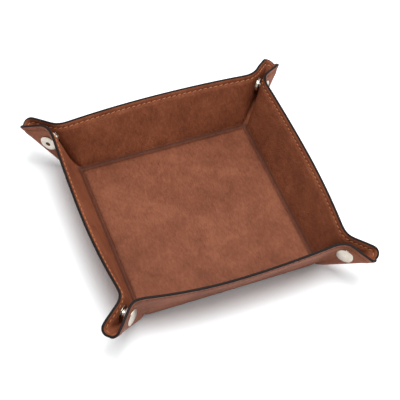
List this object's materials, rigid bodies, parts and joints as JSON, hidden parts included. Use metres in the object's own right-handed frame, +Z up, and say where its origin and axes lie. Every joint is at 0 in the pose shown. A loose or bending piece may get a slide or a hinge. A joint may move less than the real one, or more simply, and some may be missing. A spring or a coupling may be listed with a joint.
{
  "type": "valet tray",
  "caption": "Square fold-flat leather valet tray with leaning bowed walls, whose corners are pinched into ears by snap fasteners.",
  "frame": {"origin": "centre of the underside of the floor", "axes": "+Z up out of the tray, front wall at -Y, right wall at +X"},
  "size_m": [0.157, 0.157, 0.0329],
  "materials": {
    "leather_floor": "satin, fine grain",
    "leather_inner": "satin, fine grain",
    "leather_outer": "satin, fine grain",
    "board": "plain",
    "snap_metal": "polished",
    "spring_wire": "satin"
  },
  "bodies": {
    "floor": {"floor_board": "board", "floor_inner_skin": "leather_floor", "floor_outer_skin": "leather_outer"},
    "front_wall": {"front_wall_board": "board", "front_wall_inner_skin": "leather_inner", "front_wall_outer_skin": "leather_outer"},
    "right_wall": {"right_wall_board": "board", "right_wall_inner_skin": "leather_inner", "right_wall_outer_skin": "leather_outer"},
    "back_wall": {"back_wall_board": "board", "back_wall_inner_skin": "leather_inner", "back_wall_outer_skin": "leather_outer"},
    "left_wall": {"left_wall_board": "board", "left_wall_inner_skin": "leather_inner", "left_wall_outer_skin": "leather_outer"},
    "front_wall_right_ear": {"front_wall_right_ear_inner_skin": "leather_inner", "front_wall_right_ear_outer_skin": "leather_outer", "front_right_snap_cap": "snap_metal", "front_right_snap_socket": "snap_metal", "front_right_snap_spring": "spring_wire"},
    "front_wall_left_ear": {"front_wall_left_ear_inner_skin": "leather_inner", "front_wall_left_ear_outer_skin": "leather_outer", "front_left_snap_cap": "snap_metal", "front_left_snap_socket": "snap_metal", "front_left_snap_spring": "spring_wire"},
    "right_wall_back_ear": {"right_wall_back_ear_inner_skin": "leather_inner", "right_wall_back_ear_outer_skin": "leather_outer", "back_right_snap_stud": "snap_metal", "back_right_snap_post": "snap_metal"},
    "right_wall_front_ear": {"right_wall_front_ear_inner_skin": "leather_inner", "right_wall_front_ear_outer_skin": "leather_outer", "front_right_snap_stud": "snap_metal", "front_right_snap_post": "snap_metal"},
    "back_wall_left_ear": {"back_wall_left_ear_inner_skin": "leather_inner", "back_wall_left_ear_outer_skin": "leather_outer", "back_left_snap_cap": "snap_metal", "back_left_snap_socket": "snap_metal", "back_left_snap_spring": "spring_wire"},
    "back_wall_right_ear": {"back_wall_right_ear_inner_skin": "leather_inner", "back_wall_right_ear_outer_skin": "leather_outer", "back_right_snap_cap": "snap_metal", "back_right_snap_socket": "snap_metal", "back_right_snap_spring": "spring_wire"},
    "left_wall_front_ear": {"left_wall_front_ear_inner_skin": "leather_inner", "left_wall_front_ear_outer_skin": "leather_outer", "front_left_snap_stud": "snap_metal", "front_left_snap_post": "snap_metal"},
    "left_wall_back_ear": {"left_wall_back_ear_inner_skin": "leather_inner", "left_wall_back_ear_outer_skin": "leather_outer", "back_left_snap_stud": "snap_metal", "back_left_snap_post": "snap_metal"}
  },
  "joints": [
    {"name": "front_wall_fold", "type": "hinge", "parent": "floor", "child": "front_wall", "pos_m": [0, -0.05289, 0.00105], "axis": [1, 0, 0], "range_deg": [0, 66.8]},
    {"name": "right_wall_fold", "type": "hinge", "parent": "floor", "child": "right_wall", "pos_m": [0.05289, 0, 0.00105], "axis": [0, 1, 0], "range_deg": [0, 66.8]},
    {"name": "back_wall_fold", "type": "hinge", "parent": "floor", "child": "back_wall", "pos_m": [0, 0.05289, 0.00105], "axis": [-1, 0, 0], "range_deg": [0, 66.8]},
    {"name": "left_wall_fold", "type": "hinge", "parent": "floor", "child": "left_wall", "pos_m": [-0.05289, 0, 0.00105], "axis": [0, -1, 0], "range_deg": [0, 66.8]},
    {"name": "front_wall_right_ear_fold", "type": "hinge", "parent": "front_wall", "child": "front_wall_right_ear", "pos_m": [0.04955, -0.0533, 0.0021], "axis": [0.2806, -0.2806, 0.9179], "range_deg": [0, 38.75]},
    {"name": "front_wall_left_ear_fold", "type": "hinge", "parent": "front_wall", "child": "front_wall_left_ear", "pos_m": [-0.04955, -0.0533, 0.0021], "axis": [0.2806, 0.2806, -0.9179], "range_deg": [0, 38.75]},
    {"name": "right_wall_back_ear_fold", "type": "hinge", "parent": "right_wall", "child": "right_wall_back_ear", "pos_m": [0.0533, 0.04955, 0.0021], "axis": [0.2806, 0.2806, 0.9179], "range_deg": [0, 38.75]},
    {"name": "right_wall_front_ear_fold", "type": "hinge", "parent": "right_wall", "child": "right_wall_front_ear", "pos_m": [0.0533, -0.04955, 0.0021], "axis": [-0.2806, 0.2806, -0.9179], "range_deg": [0, 38.75]},
    {"name": "back_wall_left_ear_fold", "type": "hinge", "parent": "back_wall", "child": "back_wall_left_ear", "pos_m": [-0.04955, 0.0533, 0.0021], "axis": [-0.2806, 0.2806, 0.9179], "range_deg": [0, 38.75]},
    {"name": "back_wall_right_ear_fold", "type": "hinge", "parent": "back_wall", "child": "back_wall_right_ear", "pos_m": [0.04955, 0.0533, 0.0021], "axis": [-0.2806, -0.2806, -0.9179], "range_deg": [0, 38.75]},
    {"name": "left_wall_front_ear_fold", "type": "hinge", "parent": "left_wall", "child": "left_wall_front_ear", "pos_m": [-0.0533, -0.04955, 0.0021], "axis": [-0.2806, -0.2806, 0.9179], "range_deg": [0, 38.75]},
    {"name": "left_wall_back_ear_fold", "type": "hinge", "parent": "left_wall", "child": "left_wall_back_ear", "pos_m": [-0.0533, 0.04955, 0.0021], "axis": [0.2806, -0.2806, -0.9179], "range_deg": [0, 38.75]}
  ],
  "couplings": [
    {"joint": "right_wall_fold", "follows": "front_wall_fold", "ratio": 1},
    {"joint": "back_wall_fold", "follows": "front_wall_fold", "ratio": 1},
    {"joint": "left_wall_fold", "follows": "front_wall_fold", "ratio": 1},
    {"joint": "front_wall_right_ear_fold", "follows": "front_wall_fold", "ratio": 0.58},
    {"joint": "front_wall_left_ear_fold", "follows": "front_wall_fold", "ratio": 0.58},
    {"joint": "right_wall_back_ear_fold", "follows": "front_wall_fold", "ratio": 0.58},
    {"joint": "right_wall_front_ear_fold", "follows": "front_wall_fold", "ratio": 0.58},
    {"joint": "back_wall_left_ear_fold", "follows": "front_wall_fold", "ratio": 0.58},
    {"joint": "back_wall_right_ear_fold", "follows": "front_wall_fold", "ratio": 0.58},
    {"joint": "left_wall_front_ear_fold", "follows": "front_wall_fold", "ratio": 0.58},
    {"joint": "left_wall_back_ear_fold", "follows": "front_wall_fold", "ratio": 0.58}
  ]
}
